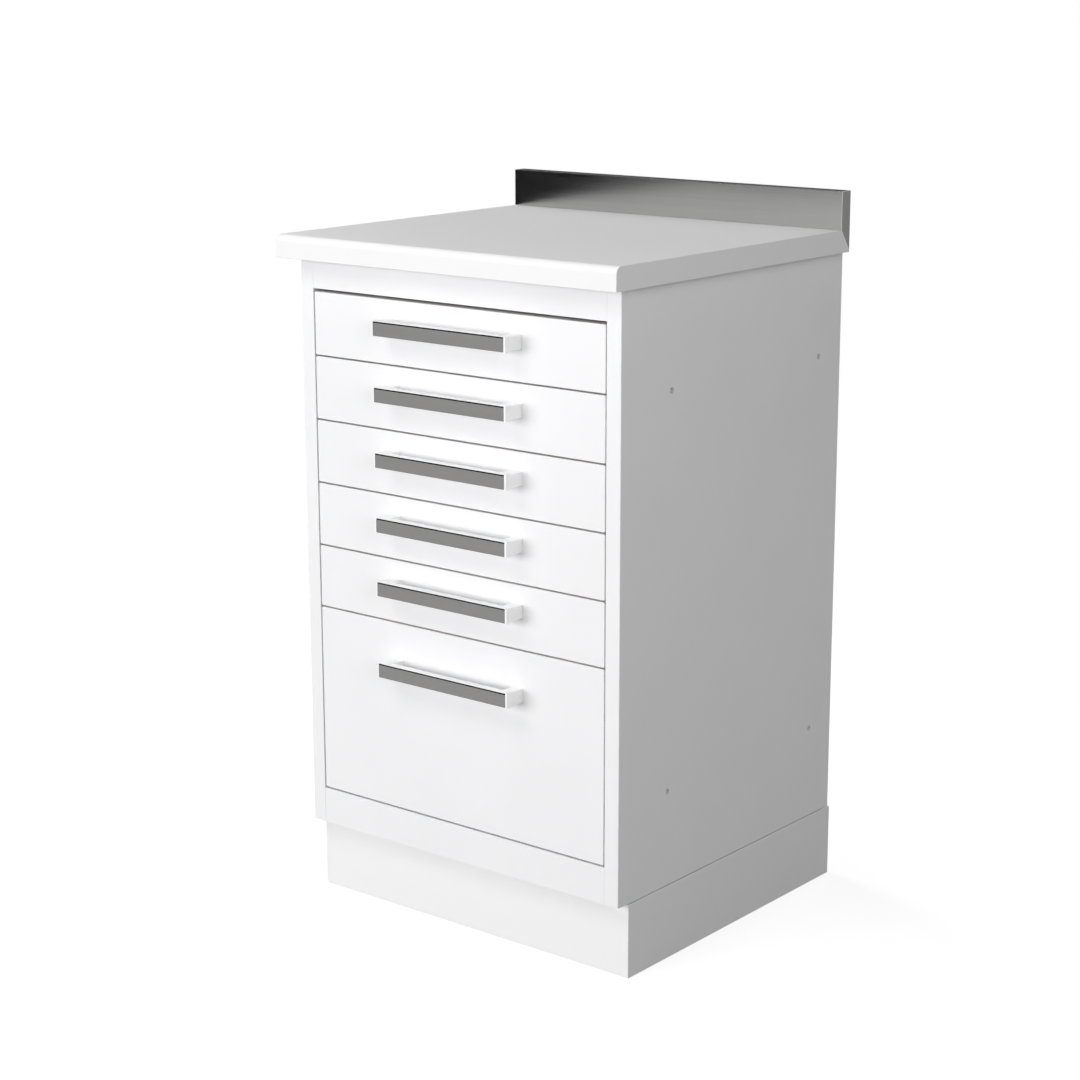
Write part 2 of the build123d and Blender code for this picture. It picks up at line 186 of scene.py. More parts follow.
class Tree:
    """A node tree that is written as Python calls."""

    def __init__(self, tree: bpy.types.NodeTree) -> None:
        """Starts from an emptied tree.

        Args:
            tree: The shader or geometry tree to fill.
        """
        self.tree = tree
        tree.nodes.clear()

    @staticmethod
    def _socket(sockets: Sequence[bpy.types.NodeSocket], key: str | int) -> bpy.types.NodeSocket:
        """Finds a socket.

        Args:
            sockets: A node's inputs or outputs.
            key: The socket's number, identifier or name.

        Returns:
            The socket.
        """
        if isinstance(key, int):
            return sockets[key]
        for socket in sockets:
            if socket.identifier == key:
                return socket
        for socket in sockets:
            if socket.name == key and socket.enabled:
                return socket
        raise KeyError(key)

    def node(self, kind: str, settings: Mapping[str, object] | None = None,
             inputs: Mapping[str | int, object] | None = None) -> bpy.types.Node:
        """Adds a node of any type.

        Args:
            kind: Blender's name of the node type.
            settings: The node's own settings, set first.
            inputs: Numbers, colours, signals or sockets for its input sockets.

        Returns:
            The node.
        """
        made = self.tree.nodes.new(kind)
        for name, value in (settings or {}).items():
            setattr(made, name, value)
        for key, value in (inputs or {}).items():
            socket = self._socket(made.inputs, key)
            if isinstance(value, Signal):
                value = value.socket
            if isinstance(value, bpy.types.NodeSocket):
                self.tree.links.new(value, socket)
            else:
                socket.default_value = value
        return made

    def out(self, kind: str, settings: Mapping[str, object] | None = None,
            inputs: Mapping[str | int, object] | None = None, output: str | int = 0) -> Signal:
        """Adds a node and returns one of its outputs.

        Args:
            kind: Blender's name of the node type.
            settings: The node's own settings.
            inputs: Values or links of its sockets.
            output: Number, identifier or name of the output.

        Returns:
            The output as a signal.
        """
        made = self.node(kind, settings, inputs)
        return Signal(self, self._socket(made.outputs, output))


def to_the_eye(tree: Tree) -> Signal:
    """1 where a camera, glossy or transmission ray looks, 0 for the light itself."""
    path = tree.node("ShaderNodeLightPath")
    seen = Signal(tree, path.outputs["Is Camera Ray"])
    for ray in ("Is Glossy Ray", "Is Transmission Ray"):
        seen = seen.at_least(Signal(tree, path.outputs[ray]))
    return seen


class Shader(Tree):
    """The shader tree of one material, with the patterns that finishes share."""

    def __init__(self, name: str) -> None:
        """Makes an empty material.

        Args:
            name: The material's name.
        """
        self.material = bpy.data.materials.new(name)
        self.material.use_nodes = True
        super().__init__(self.material.node_tree)
        self.place = self.out("ShaderNodeTexCoord", {}, {}, "Object")

    def stretched(self, scale: Point) -> Signal:
        """Object coordinates, scaled along each axis."""
        return self.out("ShaderNodeMapping", {}, {"Vector": self.place, "Scale": scale})

    def noise(self, scale: float, detail: float = 2.0, roughness: float = 0.5,
              stretch: Point | None = None) -> Signal:
        """Cloudy pattern around 0.5.

        Args:
            scale: Features per metre.
            detail: Octaves of finer noise.
            roughness: Weight of the finer octaves.
            stretch: Scale along each axis before the pattern.

        Returns:
            The pattern's value.
        """
        where = self.stretched(stretch) if stretch else self.place
        inputs = {"Vector": where, "Scale": scale, "Detail": detail, "Roughness": roughness}
        return self.out("ShaderNodeTexNoise", {}, inputs, "Fac")

    def cells(self, scale: float, output: str = "Distance") -> Signal:
        """Cell pattern: "Distance" from a cell's middle, or "Color" of the cell."""
        inputs = {"Vector": self.place, "Scale": scale}
        return self.out("ShaderNodeTexVoronoi", {}, inputs, output)

    def tinted(self, low: Colour, high: Colour, factor: Signal) -> Signal:
        """A colour between two colours."""
        inputs = {"Factor_Float": factor, "A_Color": (*low, 1.0), "B_Color": (*high, 1.0)}
        settings = {"data_type": "RGBA"}
        return self.out("ShaderNodeMix", settings, inputs, "Result_Color")

    def mixed(self, low: Signal, high: Signal, factor: Signal) -> Signal:
        """A colour pattern that goes over into another one."""
        inputs = {"Factor_Float": factor, "A_Color": low, "B_Color": high}
        return self.out("ShaderNodeMix", {"data_type": "RGBA"}, inputs, "Result_Color")

    def spread(self, colour: Colour, less: float, more: float, factor: Signal) -> Signal:
        """A colour that goes from a darker to a lighter shade of itself."""
        return self.tinted(shade(colour, less), shade(colour, more), factor)

    def bump(self, height: Signal, distance: float) -> Signal:
        """A normal bent by a height pattern of a depth in metres."""
        inputs = {"Height": height, "Distance": distance, "Strength": 1.0}
        return self.out("ShaderNodeBump", {}, inputs, "Normal")

    def finish(self, inputs: Mapping[str | int, object]) -> Material:
        """Ends the tree in one Principled shader.

        Args:
            inputs: Values and links of the shader's sockets.

        Returns:
            The material.
        """
        surface = self.node("ShaderNodeBsdfPrincipled", {}, inputs)
        self.node("ShaderNodeOutputMaterial", {}, {"Surface": surface.outputs[0]})
        return self.material


class Pattern(Tree):
    """A geometry tree that sets out what repeats."""

    def __init__(self, name: str, inputs: Mapping[str, str]) -> None:
        """Makes the tree with its inputs.

        Args:
            name: Name of the tree.
            inputs: Name and socket type of each input after the geometry.
        """
        super().__init__(bpy.data.node_groups.new(name, "GeometryNodeTree"))
        interface = self.tree.interface
        interface.new_socket("Geometry", in_out="INPUT", socket_type="NodeSocketGeometry")
        interface.new_socket("Geometry", in_out="OUTPUT", socket_type="NodeSocketGeometry")
        self.sockets = {label: interface.new_socket(label, in_out="INPUT", socket_type=kind).identifier
                        for label, kind in inputs.items()}
        self.entry = self.node("NodeGroupInput")

    def given(self, label: str) -> Signal:
        """One of the inputs.

        Args:
            label: The input's name, or "Geometry".

        Returns:
            The input as a signal.
        """
        return Signal(self, self._socket(self.entry.outputs, self.sockets.get(label, label)))

    def attribute(self, name: str, kind: str) -> Signal:
        """A value that each point carries."""
        settings = {"data_type": kind}
        return self.out("GeometryNodeInputNamedAttribute", settings, {"Name": name}, "Attribute")

    def end(self, parts: Sequence[Signal], finish: Signal) -> None:
        """Joins the parts as real meshes in one finish.

        Args:
            parts: Geometry of each part.
            finish: Their material.
        """
        joined = self.node("GeometryNodeJoinGeometry")
        for part in parts:
            self.tree.links.new(part.socket, joined.inputs[0])
        real = self.out("GeometryNodeRealizeInstances", {}, {"Geometry": joined.outputs[0]})
        painted = self.out("GeometryNodeSetMaterial", {}, {"Geometry": real, "Material": finish})
        self.node("NodeGroupOutput", {}, {0: painted})

    def run(self, piece: Object, values: Mapping[str, object]) -> Object:
        """Runs the tree on a piece and keeps the plain result.

        Args:
            piece: A mesh of points.
            values: Value of each input by its name.

        Returns:
            The piece.
        """
        modifier = piece.modifiers.new(self.tree.name, "NODES")
        modifier.node_group = self.tree
        for label, value in values.items():
            modifier[self.sockets[label]] = value
        return baked(piece)


def shade(colour: Colour, factor: float) -> Colour:
    """A colour made lighter or darker by a factor."""
    return tuple(min(1.0, part * factor) for part in colour)


@dataclass(frozen=True)
class Finish:
    """What every finish has.

    Attributes:
        name: Name of the material.
        colour: Its mean colour.
        roughness: Its mean roughness.
    """

    name: str
    colour: Colour
    roughness: float


@dataclass(frozen=True)
class PowderCoat(Finish):
    """Baked powder paint on steel: satin, with a fine orange peel.

    Attributes:
        peel: Height of the orange peel in metres.
        cast: How much lighter and darker the coat gets from place to place.
    """

    colour: Colour = (0.86, 0.86, 0.87)
    roughness: float = 0.42
    peel: float = 6e-6
    cast: float = 0.012

    def build(self) -> Material:
        """Makes the material."""
        shader = Shader(self.name)
        cloud = shader.noise(7.0, 3.0, 0.55)
        speck = shader.noise(2600.0, 1.0)
        tone = (cloud * 0.7 + speck * 0.3).stepped(0.3, 0.7)
        colour = shader.spread(self.colour, 1 - self.cast, 1 + self.cast, tone)
        peel = shader.noise(620.0, 2.0, 0.45)
        pebble = shader.noise(1900.0, 1.0)
        roughness = self.roughness + (peel - 0.5) * 0.10 + (cloud - 0.5) * 0.06
        normal = shader.bump(peel * 0.8 + pebble * 0.2, self.peel)
        return shader.finish({"Base Color": colour, "Roughness": roughness, "Normal": normal,
                              "Specular IOR Level": 0.45})


@dataclass(frozen=True)
class Laminate(Finish):
    """Pressed laminate with a fine pebble grain and a faint fleck.

    Attributes:
        grain: Height of the grain in metres.
        fleck: How much the fleck darkens the sheet.
    """

    colour: Colour = (0.84, 0.84, 0.84)
    roughness: float = 0.46
    grain: float = 8e-6
    fleck: float = 0.02

    def build(self) -> Material:
        """Makes the material."""
        shader = Shader(self.name)
        pebble = shader.cells(1300.0)
        cloud = shader.noise(9.0, 4.0, 0.6)
        fleck = shader.noise(3400.0, 2.0, 0.7).stepped(0.52, 0.72)
        tone = (fleck * 0.75 + (1 - cloud) * 0.25).at_most(1.0)
        colour = shader.tinted(self.colour, shade(self.colour, 1 - self.fleck), tone)
        roughness = self.roughness + pebble * 0.08 + (cloud - 0.5) * 0.08
        normal = shader.bump(pebble, self.grain)
        return shader.finish({"Base Color": colour, "Roughness": roughness, "Normal": normal,
                              "Specular IOR Level": 0.4})


@dataclass(frozen=True)
class GrainedMetal(Finish):
    """Satin metal, brushed along the cabinet's width.

    Attributes:
        depth: Depth of the brush marks in metres.
        contrast: How much the marks differ in colour.
        metallic: Share of the metal's gloss against an anodised, matt look.
    """

    colour: Colour = (0.60, 0.60, 0.595)
    roughness: float = 0.19
    depth: float = 1.5e-6
    contrast: float = 0.06
    metallic: float = 1.0

    def build(self) -> Material:
        """Makes the material."""
        shader = Shader(self.name)
        marks = shader.noise(1.0, 3.0, 0.6, (6.0, 1500.0, 1500.0))
        broad = shader.noise(1.0, 2.0, 0.5, (3.0, 260.0, 260.0))
        cloud = shader.noise(5.0, 3.0)
        tone = (marks * 0.6 + broad * 0.4).stepped(0.25, 0.75)
        colour = shader.spread(self.colour, 1 - self.contrast, 1 + self.contrast, tone)
        roughness = self.roughness + (marks - 0.5) * 0.10 + (cloud - 0.5) * 0.05
        normal = shader.bump(marks * 0.7 + broad * 0.3, self.depth)
        return shader.finish({"Base Color": colour, "Roughness": roughness, "Normal": normal,
                              "Metallic": self.metallic})


@dataclass(frozen=True)
class ZincPlate(Finish):
    """Zinc-plated steel with faint crystals and rubbed running faces.

    Attributes:
        crystal: Crystals per metre.
    """

    colour: Colour = (0.62, 0.63, 0.65)
    roughness: float = 0.34
    crystal: float = 260.0

    def build(self) -> Material:
        """Makes the material."""
        shader = Shader(self.name)
        crystals = shader.cells(self.crystal, "Color")
        grey = shader.out("ShaderNodeRGBToBW", {}, {"Color": crystals})
        cloud = shader.noise(30.0, 4.0, 0.6)
        rub = shader.noise(1.0, 2.0, 0.5, (900.0, 8.0, 900.0))
        tone = grey * 0.35 + cloud * 0.4 + rub * 0.25
        colour = shader.spread(self.colour, 0.9, 1.08, tone)
        roughness = self.roughness + (grey - 0.5) * 0.12 + (rub - 0.5) * 0.10
        normal = shader.bump(grey * 0.4 + rub * 0.6, 2e-6)
        return shader.finish({"Base Color": colour, "Roughness": roughness, "Normal": normal,
                              "Metallic": 1.0})


@dataclass(frozen=True)
class Moulding(Finish):
    """Moulded plastic with a very fine spark-eroded grain.

    Attributes:
        grain: Height of the grain in metres.
        coat: Weight of the gloss coat.
        shine: Level of the plain reflection.
    """

    colour: Colour = (0.86, 0.86, 0.86)
    roughness: float = 0.34
    grain: float = 3e-6
    coat: float = 0.15
    shine: float = 0.5

    def build(self) -> Material:
        """Makes the material."""
        shader = Shader(self.name)
        grain = shader.noise(3200.0, 2.0, 0.6)
        flow = shader.noise(1.0, 2.0, 0.5, (14.0, 90.0, 90.0))
        tone = (grain * 0.5 + flow * 0.5).stepped(0.3, 0.7)
        colour = shader.spread(self.colour, 0.985, 1.01, tone)
        roughness = self.roughness + (flow - 0.5) * 0.08 + (grain - 0.5) * 0.05
        normal = shader.bump(grain, self.grain)
        return shader.finish({"Base Color": colour, "Roughness": roughness, "Normal": normal,
                              "Coat Weight": self.coat, "Coat Roughness": 0.2,
                              "Specular IOR Level": self.shine})


@dataclass(frozen=True)
class Finishes:
    """Every finish of the cabinet, made once and in this order."""

    body: Material = field(default_factory=PowderCoat("body_powder_coat").build)
    front: Material = field(default_factory=PowderCoat("front_powder_coat", roughness=0.40, peel=5e-6).build)
    # Warmer, slightly darker paint on the folds seen in the gaps between fronts: painted gap shade.
    fold_gap_shade: Material = field(default_factory=PowderCoat(
        "front_fold_powder_coat", (0.85, 0.82, 0.79), 0.45, 5e-6).build)
    tray: Material = field(default_factory=PowderCoat("tray_powder_coat", (0.80, 0.80, 0.81), 0.48, 7e-6).build)
    worktop: Material = field(default_factory=Laminate("worktop_laminate").build)
    upstand: Material = field(default_factory=GrainedMetal("upstand_satin_metal").build)
    plinth: Material = field(default_factory=Laminate(
        "plinth_laminate", (0.90, 0.90, 0.90), 0.5, 6e-6, 0.015).build)
    spacer: Material = field(default_factory=Moulding("spacer_black", (0.05, 0.05, 0.05), 0.5).build)
    handle: Material = field(default_factory=Moulding("handle_white", (0.95, 0.95, 0.95)).build)
    strip: Material = field(default_factory=GrainedMetal(
        "strip_satin_metal", (0.235, 0.232, 0.23), 0.5, 1e-6, 0.04, 0.2).build)
    # Near-black finish of the strips' top bevels: a painted dark reflection.
    painted_bevel_reflection: Material = field(default_factory=Moulding(
        "strip_dark_bevel", (0.004, 0.004, 0.004), 0.7, 2e-6, 0.0, 0.05).build)
    slide: Material = field(default_factory=ZincPlate("slide_zinc").build)
    fastener: Material = field(default_factory=ZincPlate("fastener_zinc", (0.60, 0.60, 0.62), 0.3, 700.0).build)


# ---------------------------------------------------------------------------
# Meshes
# ---------------------------------------------------------------------------


class Draft:
    """The faces of one piece before it becomes an object."""

    def __init__(self) -> None:
        """Starts with no faces."""
        self.mesh = bmesh.new()

    def block(self, low: Point, high: Point) -> None:
        """Adds a box.

        Args:
            low: Lowest corner.
            high: Highest corner.
        """
        self.prism([(low[0], low[1]), (high[0], low[1]), (high[0], high[1]), (low[0], high[1])],
                   Axis.HEIGHT, low[2], high[2])

    def prism(self, outline: Sequence[Flat], axis: Axis, low: float, high: float) -> None:
        """Adds a closed bar with the same section all along.

        Args:
            outline: Corners of the section: (Y, Z) across the width, (X, Z) across
                the depth and (X, Y) across the height.
            axis: Direction of the bar.
            low: Where the bar starts.
            high: Where it ends.
        """
        def put(flat: Flat, along: float) -> Point:
            place = list(flat)
            place.insert(axis.value, along)
            return tuple(place)

        first = [self.mesh.verts.new(put(corner, low)) for corner in outline]
        last = [self.mesh.verts.new(put(corner, high)) for corner in outline]
        self.mesh.faces.new(first)
        self.mesh.faces.new(list(reversed(last)))
        for index in range(len(outline)):
            after = (index + 1) % len(outline)
            self.mesh.faces.new((first[after], first[index], last[index], last[after]))

    def build(self, name: str, materials: Sequence[Material],
              edge: float = 0.0, steps: int = 3,
              paint: Callable[[bmesh.types.BMFace], int] | None = None) -> Object:
        """Closes the draft and makes it an object with softened edges.

        Args:
            name: Name of the piece.
            materials: Its finishes.
            edge: Radius of its edges, or 0 to leave them sharp.
            steps: Facets round an edge.
            paint: Chooses the finish of a face; the first one where it is left out.

        Returns:
            The object.
        """
        bmesh.ops.remove_doubles(self.mesh, verts=self.mesh.verts, dist=1e-7)
        bmesh.ops.recalc_face_normals(self.mesh, faces=self.mesh.faces)
        if paint:
            for face in self.mesh.faces:
                face.material_index = paint(face)
        piece = meshed(self.mesh, name, materials)
        return softened(piece, edge, steps) if edge else smoothed(piece)


def placed(name: str, data: bpy.types.ID) -> Object:
    """Puts a mesh, a lamp or a camera in the scene."""
    item = bpy.data.objects.new(name, data)
    bpy.context.scene.collection.objects.link(item)
    return item


def meshed(draft: bmesh.types.BMesh, name: str, materials: Sequence[Material]) -> Object:
    """Turns loose faces into a piece.

    Args:
        draft: The faces, which are freed.
        name: Name of the piece.
        materials: Its finishes.

    Returns:
        The piece.
    """
    data = bpy.data.meshes.new(name)
    draft.to_mesh(data)
    draft.free()
    for material in materials:
        data.materials.append(material)
    return placed(name, data)


def point_at(item: Object, place: Point, aim: Point, front: str) -> None:
    """Stands a lamp or a board at a place, with its front axis towards what it faces."""
    item.location = place
    item.rotation_euler = (Vector(aim) - Vector(place)).to_track_quat(front, "Y").to_euler()


def smoothed(piece: Object) -> Object:
    """Shades a closed piece smooth except across its corners."""
    piece.data.shade_smooth()
    piece.data.set_sharp_from_angle(angle=CORNER)
    return piece


def baked(piece: Object) -> Object:
    """Turns a piece with modifiers into a plain mesh.

    Args:
        piece: The piece.

    Returns:
        The same object, with the result as its mesh and no modifier.
    """
    graph = bpy.context.evaluated_depsgraph_get()
    graph.update()
    mesh = bpy.data.meshes.new_from_object(piece.evaluated_get(graph), depsgraph=graph)
    old = piece.data
    piece.modifiers.clear()
    piece.data = mesh
    mesh.name = piece.name
    bpy.data.meshes.remove(old)
    return piece


def outward(piece: Object) -> None:
    """Turns the faces of closed shells outwards."""
    draft = bmesh.new()
    draft.from_mesh(piece.data)
    bmesh.ops.recalc_face_normals(draft, faces=draft.faces)
    draft.to_mesh(piece.data)
    draft.free()


def softened(piece: Object, edge: float, steps: int = 3) -> Object:
    """Rounds every corner of a piece and keeps its flats flat.

    Args:
        piece: The piece.
        edge: Radius of the edges.
        steps: Facets round an edge.

    Returns:
        The same piece as a plain mesh.
    """
    piece.data.shade_smooth()
    bevel = piece.modifiers.new("edges", "BEVEL")
    bevel.width, bevel.segments = edge, steps
    bevel.limit_method, bevel.angle_limit = "ANGLE", CORNER
    bevel.miter_outer = "MITER_ARC"
    bevel.use_clamp_overlap = True
    flats = piece.modifiers.new("flats", "WEIGHTED_NORMAL")
    flats.mode, flats.weight, flats.keep_sharp = "FACE_AREA", 100, True
    return baked(piece)


def rounded(corners: Sequence[Point], steps: int) -> list[Flat]:
    """An outline whose corners are arcs.

    Args:
        corners: Place and radius of each corner, in order round the outline.
        steps: Facets in a quarter turn.

    Returns:
        The outline's points.
    """
    points: list[Flat] = []
    count = len(corners)
    for index, (x, y, radius) in enumerate(corners):
        if radius <= 0:
            points.append((x, y))
            continue
        here = Vector((x, y))
        before = (Vector(corners[index - 1][:2]) - here).normalized()
        after = (Vector(corners[(index + 1) % count][:2]) - here).normalized()
        half = before.angle(after) / 2
        reach = radius / math.tan(half)
        centre = here + (before + after).normalized() * (radius / math.sin(half))
        start = here + before * reach - centre
        end = here + after * reach - centre
        turn = math.atan2(start.cross(end), start.dot(end))
        facets = max(2, round(steps * abs(turn) / (math.pi / 2)))
        for step in range(facets + 1):
            spoke = start.copy()
            spoke.rotate(Matrix.Rotation(turn * step / facets, 2))
            points.append(tuple(centre + spoke))
    return points


def welded(node: str) -> bmesh.types.BMesh:
    """A solid's faces, joined where their corners meet."""
    draft = bmesh.new()
    draft.from_mesh(FRAME["nodes"][node].data)
    bmesh.ops.remove_doubles(draft, verts=draft.verts, dist=WELD)
    return draft


def solid_copy(node: str, name: str, materials: Sequence[Material]) -> Object:
    """A piece with a solid's shape, merged and with its flats in one face each.

    Args:
        node: The solid's name.
        name: Name of the piece.
        materials: Its finishes.

    Returns:
        The piece.
    """
    draft = welded(node)
    bmesh.ops.dissolve_limit(draft, angle_limit=FLAT, verts=draft.verts, edges=draft.edges)
    return meshed(draft, name, materials)


def islands(node: str) -> list[list[Vector]]:
    """The corners of each separate solid of a node.

    Args:
        node: The solid's name.

    Returns:
        One list of corners for each solid.
    """
    draft = welded(node)
    seen, found = set(), []
    for first in draft.verts:
        if first in seen:
            continue
        seen.add(first)
        stack, island = [first], []
        while stack:
            vertex = stack.pop()
            island.append(vertex.co.copy())
            for edge in vertex.link_edges:
                other = edge.other_vert(vertex)
                if other not in seen:
                    seen.add(other)
                    stack.append(other)
        found.append(island)
    draft.free()
    return found


def dress(piece: Object, body: str, slot: str, *nodes: str) -> None:
    """Gives a piece its body and hides the solids that it stands for.

    Args:
        piece: The piece.
        body: Name of the body that it moves with.
        slot: The record's material slot; not used.
        nodes: The solids that it replaces.
    """
    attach(piece, body)
    if nodes:
        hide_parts(*nodes)
    LOG.info("%s: %d faces on %s", piece.name, len(piece.data.polygons), body)


def paint_node(node: str, material: Material) -> None:
    """Gives a solid that stays its finish.

    Args:
        node: The solid's name.
        material: The finish.
    """
    shown = FRAME["nodes"][node]
    if not shown.material_slots:
        shown.data.materials.append(material)
    for place in shown.material_slots:
        place.link = "OBJECT"
        place.material = material
    LOG.info("%s: painted %s", node, material.name)


# ---------------------------------------------------------------------------
# Sub-assemblies
# ---------------------------------------------------------------------------


@dataclass
class SteelBody:
    """Folded steel sides, rails, back and floor.

    Attributes:
        finish: Paint of the body.
        edge: Radius of a cut edge under the paint.
        hidden: Solids that are seen only through the open drawers.
        shown: Solids that get softened edges.
    """

    finish: Material
    edge: float = 0.35 * MM
    hidden: tuple[str, ...] = ("side_liner_right", "side_liner_left", "base_pan", "rear_stretcher")
    shown: tuple[str, ...] = ("side_skin_right", "side_skin_left", "back_panel", "top_rail", "bottom_rail")

    def build(self) -> None:
        """Makes the body's pieces."""
        for node in self.hidden:
            paint_node(node, self.finish)
        for node in self.shown:
            piece = solid_copy(node, "shown_" + node, [self.finish])
            softened(piece, self.edge)
            dress(piece, "body", "body_paint", node)


@dataclass
class Sleeves:
    """Spacer tubes round the bolt holes, between the two walls of each side.

    Attributes:
        finish: Paint of the tubes.
        sheet: Thickness of the walls.
        wall: Wall of a tube.
        sides: Facets round a tube.
    """

    finish: Material
    sheet: float = 1.2 * MM
    wall: float = 1.2 * MM
    sides: int = 36

    @staticmethod
    def mount() -> dict:
        """The record's pattern of bolt holes in the right side."""
        return next(mount for mount in FRAME["record"]["mounts"] if mount["name"] == "join_holes_right")

    def places(self) -> list[Point]:
        """Middle of each tube."""
        mount = self.mount()
        half_y, half_z = (mount["dims"][key] * MM / 2 for key in ("spacing_x_mm", "spacing_y_mm"))
        _, y, z = mount["pos_m"]
        middle = (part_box("side_liner_right")[1][0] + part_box("side_skin_right")[1][0] - self.sheet) / 2
        return [(side * middle, y + deep * half_y, z + high * half_z)
                for side in (-1, 1) for deep in (-1, 1) for high in (-1, 1)]

    def build(self) -> None:
        """Makes the tubes."""
        bore = self.mount()["dims"]["hole_r_mm"] * MM
        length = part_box("side_skin_right")[1][0] - self.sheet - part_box("side_liner_right")[1][0]
        kinds = {"Bore": "NodeSocketFloat", "Wall": "NodeSocketFloat", "Length": "NodeSocketFloat",
                 "Sides": "NodeSocketInt", "Finish": "NodeSocketMaterial"}
        pattern = Pattern("sleeves", kinds)
        radius = pattern.given("Bore") + pattern.given("Wall") / 2
        ring = pattern.out("GeometryNodeCurvePrimitiveCircle", {}, {"Resolution": pattern.given("Sides"),
                                                                   "Radius": radius})
        section = pattern.out("GeometryNodeCurvePrimitiveQuadrilateral", {}, {
            "Width": pattern.given("Wall"), "Height": pattern.given("Length")})
        tube = pattern.out("GeometryNodeCurveToMesh", {}, {"Curve": ring, "Profile Curve": section})
        tube = pattern.out("GeometryNodeTransform", {}, {"Geometry": tube, "Rotation": (0.0, math.pi / 2, 0.0)})
        tubes = pattern.out("GeometryNodeInstanceOnPoints", {}, {
            "Points": pattern.given("Geometry"), "Instance": tube})
        pattern.end([tubes], pattern.given("Finish"))
        data = bpy.data.meshes.new("bolt_sleeves")
        data.from_pydata(self.places(), [], [])
        piece = placed("bolt_sleeves", data)
        pattern.run(piece, {"Bore": bore, "Wall": self.wall, "Length": length, "Sides": self.sides,
                            "Finish": self.finish})
        outward(piece)
        dress(smoothed(piece), "body", "body_paint")


@dataclass
class Worktop:
    """Laminate board with a rounded front edge and a mitred rear edge.

    Attributes:
        finish: Laminate of the board.
        nose: Radius of the front edge.
        foot: Height of the square edge under the mitre.
        edge: Radius of the trimmed edges.
    """

    finish: Material
    nose: float = 9.0 * MM
    foot: float = 1.3 * MM
    edge: float = 0.45 * MM

    def outline(self) -> list[Flat]:
        """Section of the board across its width."""
        low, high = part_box("worktop")
        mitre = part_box("upstand")[0][1]
        corners = [(low[1], low[2], 0.0), (high[1], low[2], 0.0), (high[1], low[2] + self.foot, 0.0),
                   (mitre, high[2], 0.0), (low[1], high[2], self.nose)]
        return rounded(corners, 14)

    def build(self) -> None:
        """Makes the board."""
        low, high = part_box("worktop")
        draft = Draft()
        draft.prism(self.outline(), Axis.WIDTH, low[0], high[0])
        piece = draft.build("worktop_board", [self.finish], self.edge)
        dress(piece, "body", "worktop_laminate", "worktop")


@dataclass
class Upstand:
    """Metal-faced board along the rear of the worktop.

    Attributes:
        finish: Metal of the board's faces.
        edge: Radius of the folded metal's edges.
    """

    finish: Material
    edge: float = 0.5 * MM

    def build(self) -> None:
        """Makes the board."""
        low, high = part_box("upstand")
        worktop_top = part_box("worktop")[1][2]
        outline = [(low[1], worktop_top), (high[1], low[2]), (high[1], high[2]), (low[1], high[2])]
        draft = Draft()
        draft.prism(outline, Axis.WIDTH, low[0], high[0])
        piece = draft.build("upstand_board", [self.finish], self.edge)
        dress(piece, "body", "upstand_metal", "upstand")


@dataclass
class Plinth:
    """Four laminate boards, mitred at the corners.

    Attributes:
        finish: Laminate of the boards.
        spacer: Plastic of the washers above them.
        edge: Radius of the boards' edges.
    """

    finish: Material
    spacer: Material
    edge: float = 0.5 * MM

    def build(self) -> None:
        """Makes the boards."""
        for side in ("front", "right", "rear", "left"):
            node = "plinth_" + side
            piece = solid_copy(node, "shown_" + node, [self.finish])
            softened(piece, self.edge)
            dress(piece, "body", "plinth_laminate", node)
        paint_node("plinth_spacers", self.spacer)


@dataclass
class Handle:
    """Bow handle with a metal strip let into its face.

    Attributes:
        number: The drawer's number from the top.
        moulding: Plastic of the bow.
        strip: Metal of the strip's face.
        painted_bevel_reflection: Near-black finish of the strip's top bevel: a painted dark reflection.
        bevel: Width of the strip's bevel.
        edge: Radius of the bow's edges.
        strip_round: Radius of the strip's edges.
        level: Least cosine to the bevel's slope at which a face is part of it.
    """

    number: int
    moulding: Material
    strip: Material
    painted_bevel_reflection: Material
    bevel: float = 1.55 * MM
    edge: float = 0.3 * MM
    strip_round: float = 0.12 * MM
    level: float = 0.95

    def build(self) -> None:
        """Makes the bow and its strip."""
        self.build_bow()
        self.build_strip()

    def build_bow(self) -> None:
        """Makes the white bow."""
        node = f"handle_{self.number}"
        piece = solid_copy(node, f"bow_{self.number}", [self.moulding])
        softened(piece, self.edge)
        dress(piece, f"drawer_{self.number}", "handle_white", node)

    def build_strip(self) -> None:
        """Makes the metal strip, with a painted dark reflection on its top bevel."""
        node = f"handle_strip_{self.number}"
        low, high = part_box(node)
        section = [(low[1], low[2]), (low[1], high[2] - self.bevel), (low[1] + self.bevel, high[2]),
                   (high[1], high[2]), (high[1], low[2])]
        draft = Draft()
        draft.prism(section, Axis.WIDTH, low[0], high[0])
        # Faces on the top bevel take the near-black finish, a painted dark reflection.
        slope = Vector((0.0, -1.0, 1.0)).normalized()
        piece = draft.build(f"strip_{self.number}", [self.strip, self.painted_bevel_reflection], self.strip_round, 2,
                            lambda face: int(face.normal.dot(slope) > self.level))
        dress(piece, f"drawer_{self.number}", "strip_metal", node)


